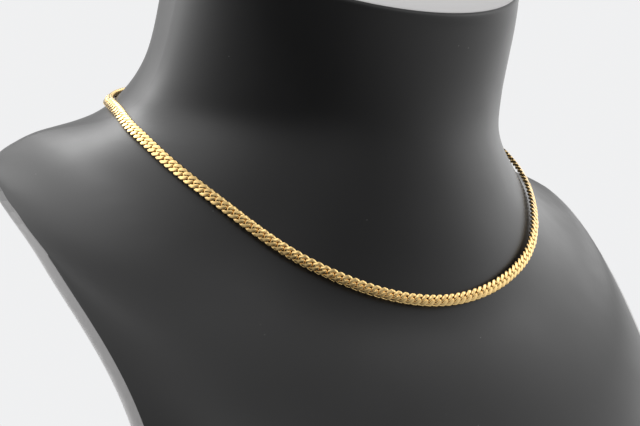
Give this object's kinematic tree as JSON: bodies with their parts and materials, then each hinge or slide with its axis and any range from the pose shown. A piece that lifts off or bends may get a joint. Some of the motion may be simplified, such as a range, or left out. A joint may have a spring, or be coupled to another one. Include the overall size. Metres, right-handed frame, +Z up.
{
  "type": "curb chain necklace on a neck display bust",
  "caption": "Short curb chain necklace of tight, facet-cut golden links closed by a plain clasp, lying on a matt black neck bust with a sloping cut top.",
  "frame": {"origin": "on the floor under the middle of the object's outline from above, at the bust's flat foot", "axes": "+Z up; the bust faces -Y and its left shoulder is at +X"},
  "size_m": [0.211, 0.203, 0.2221],
  "materials": {
    "bust": "matt black, with a faint sheen",
    "chain": "gold-coloured, facet-cut and polished",
    "clasp": "gold-coloured, polished"
  },
  "bodies": {
    "root": {"bust": "bust", "chain": "chain", "clasp": "clasp"}
  },
  "joints": []
}
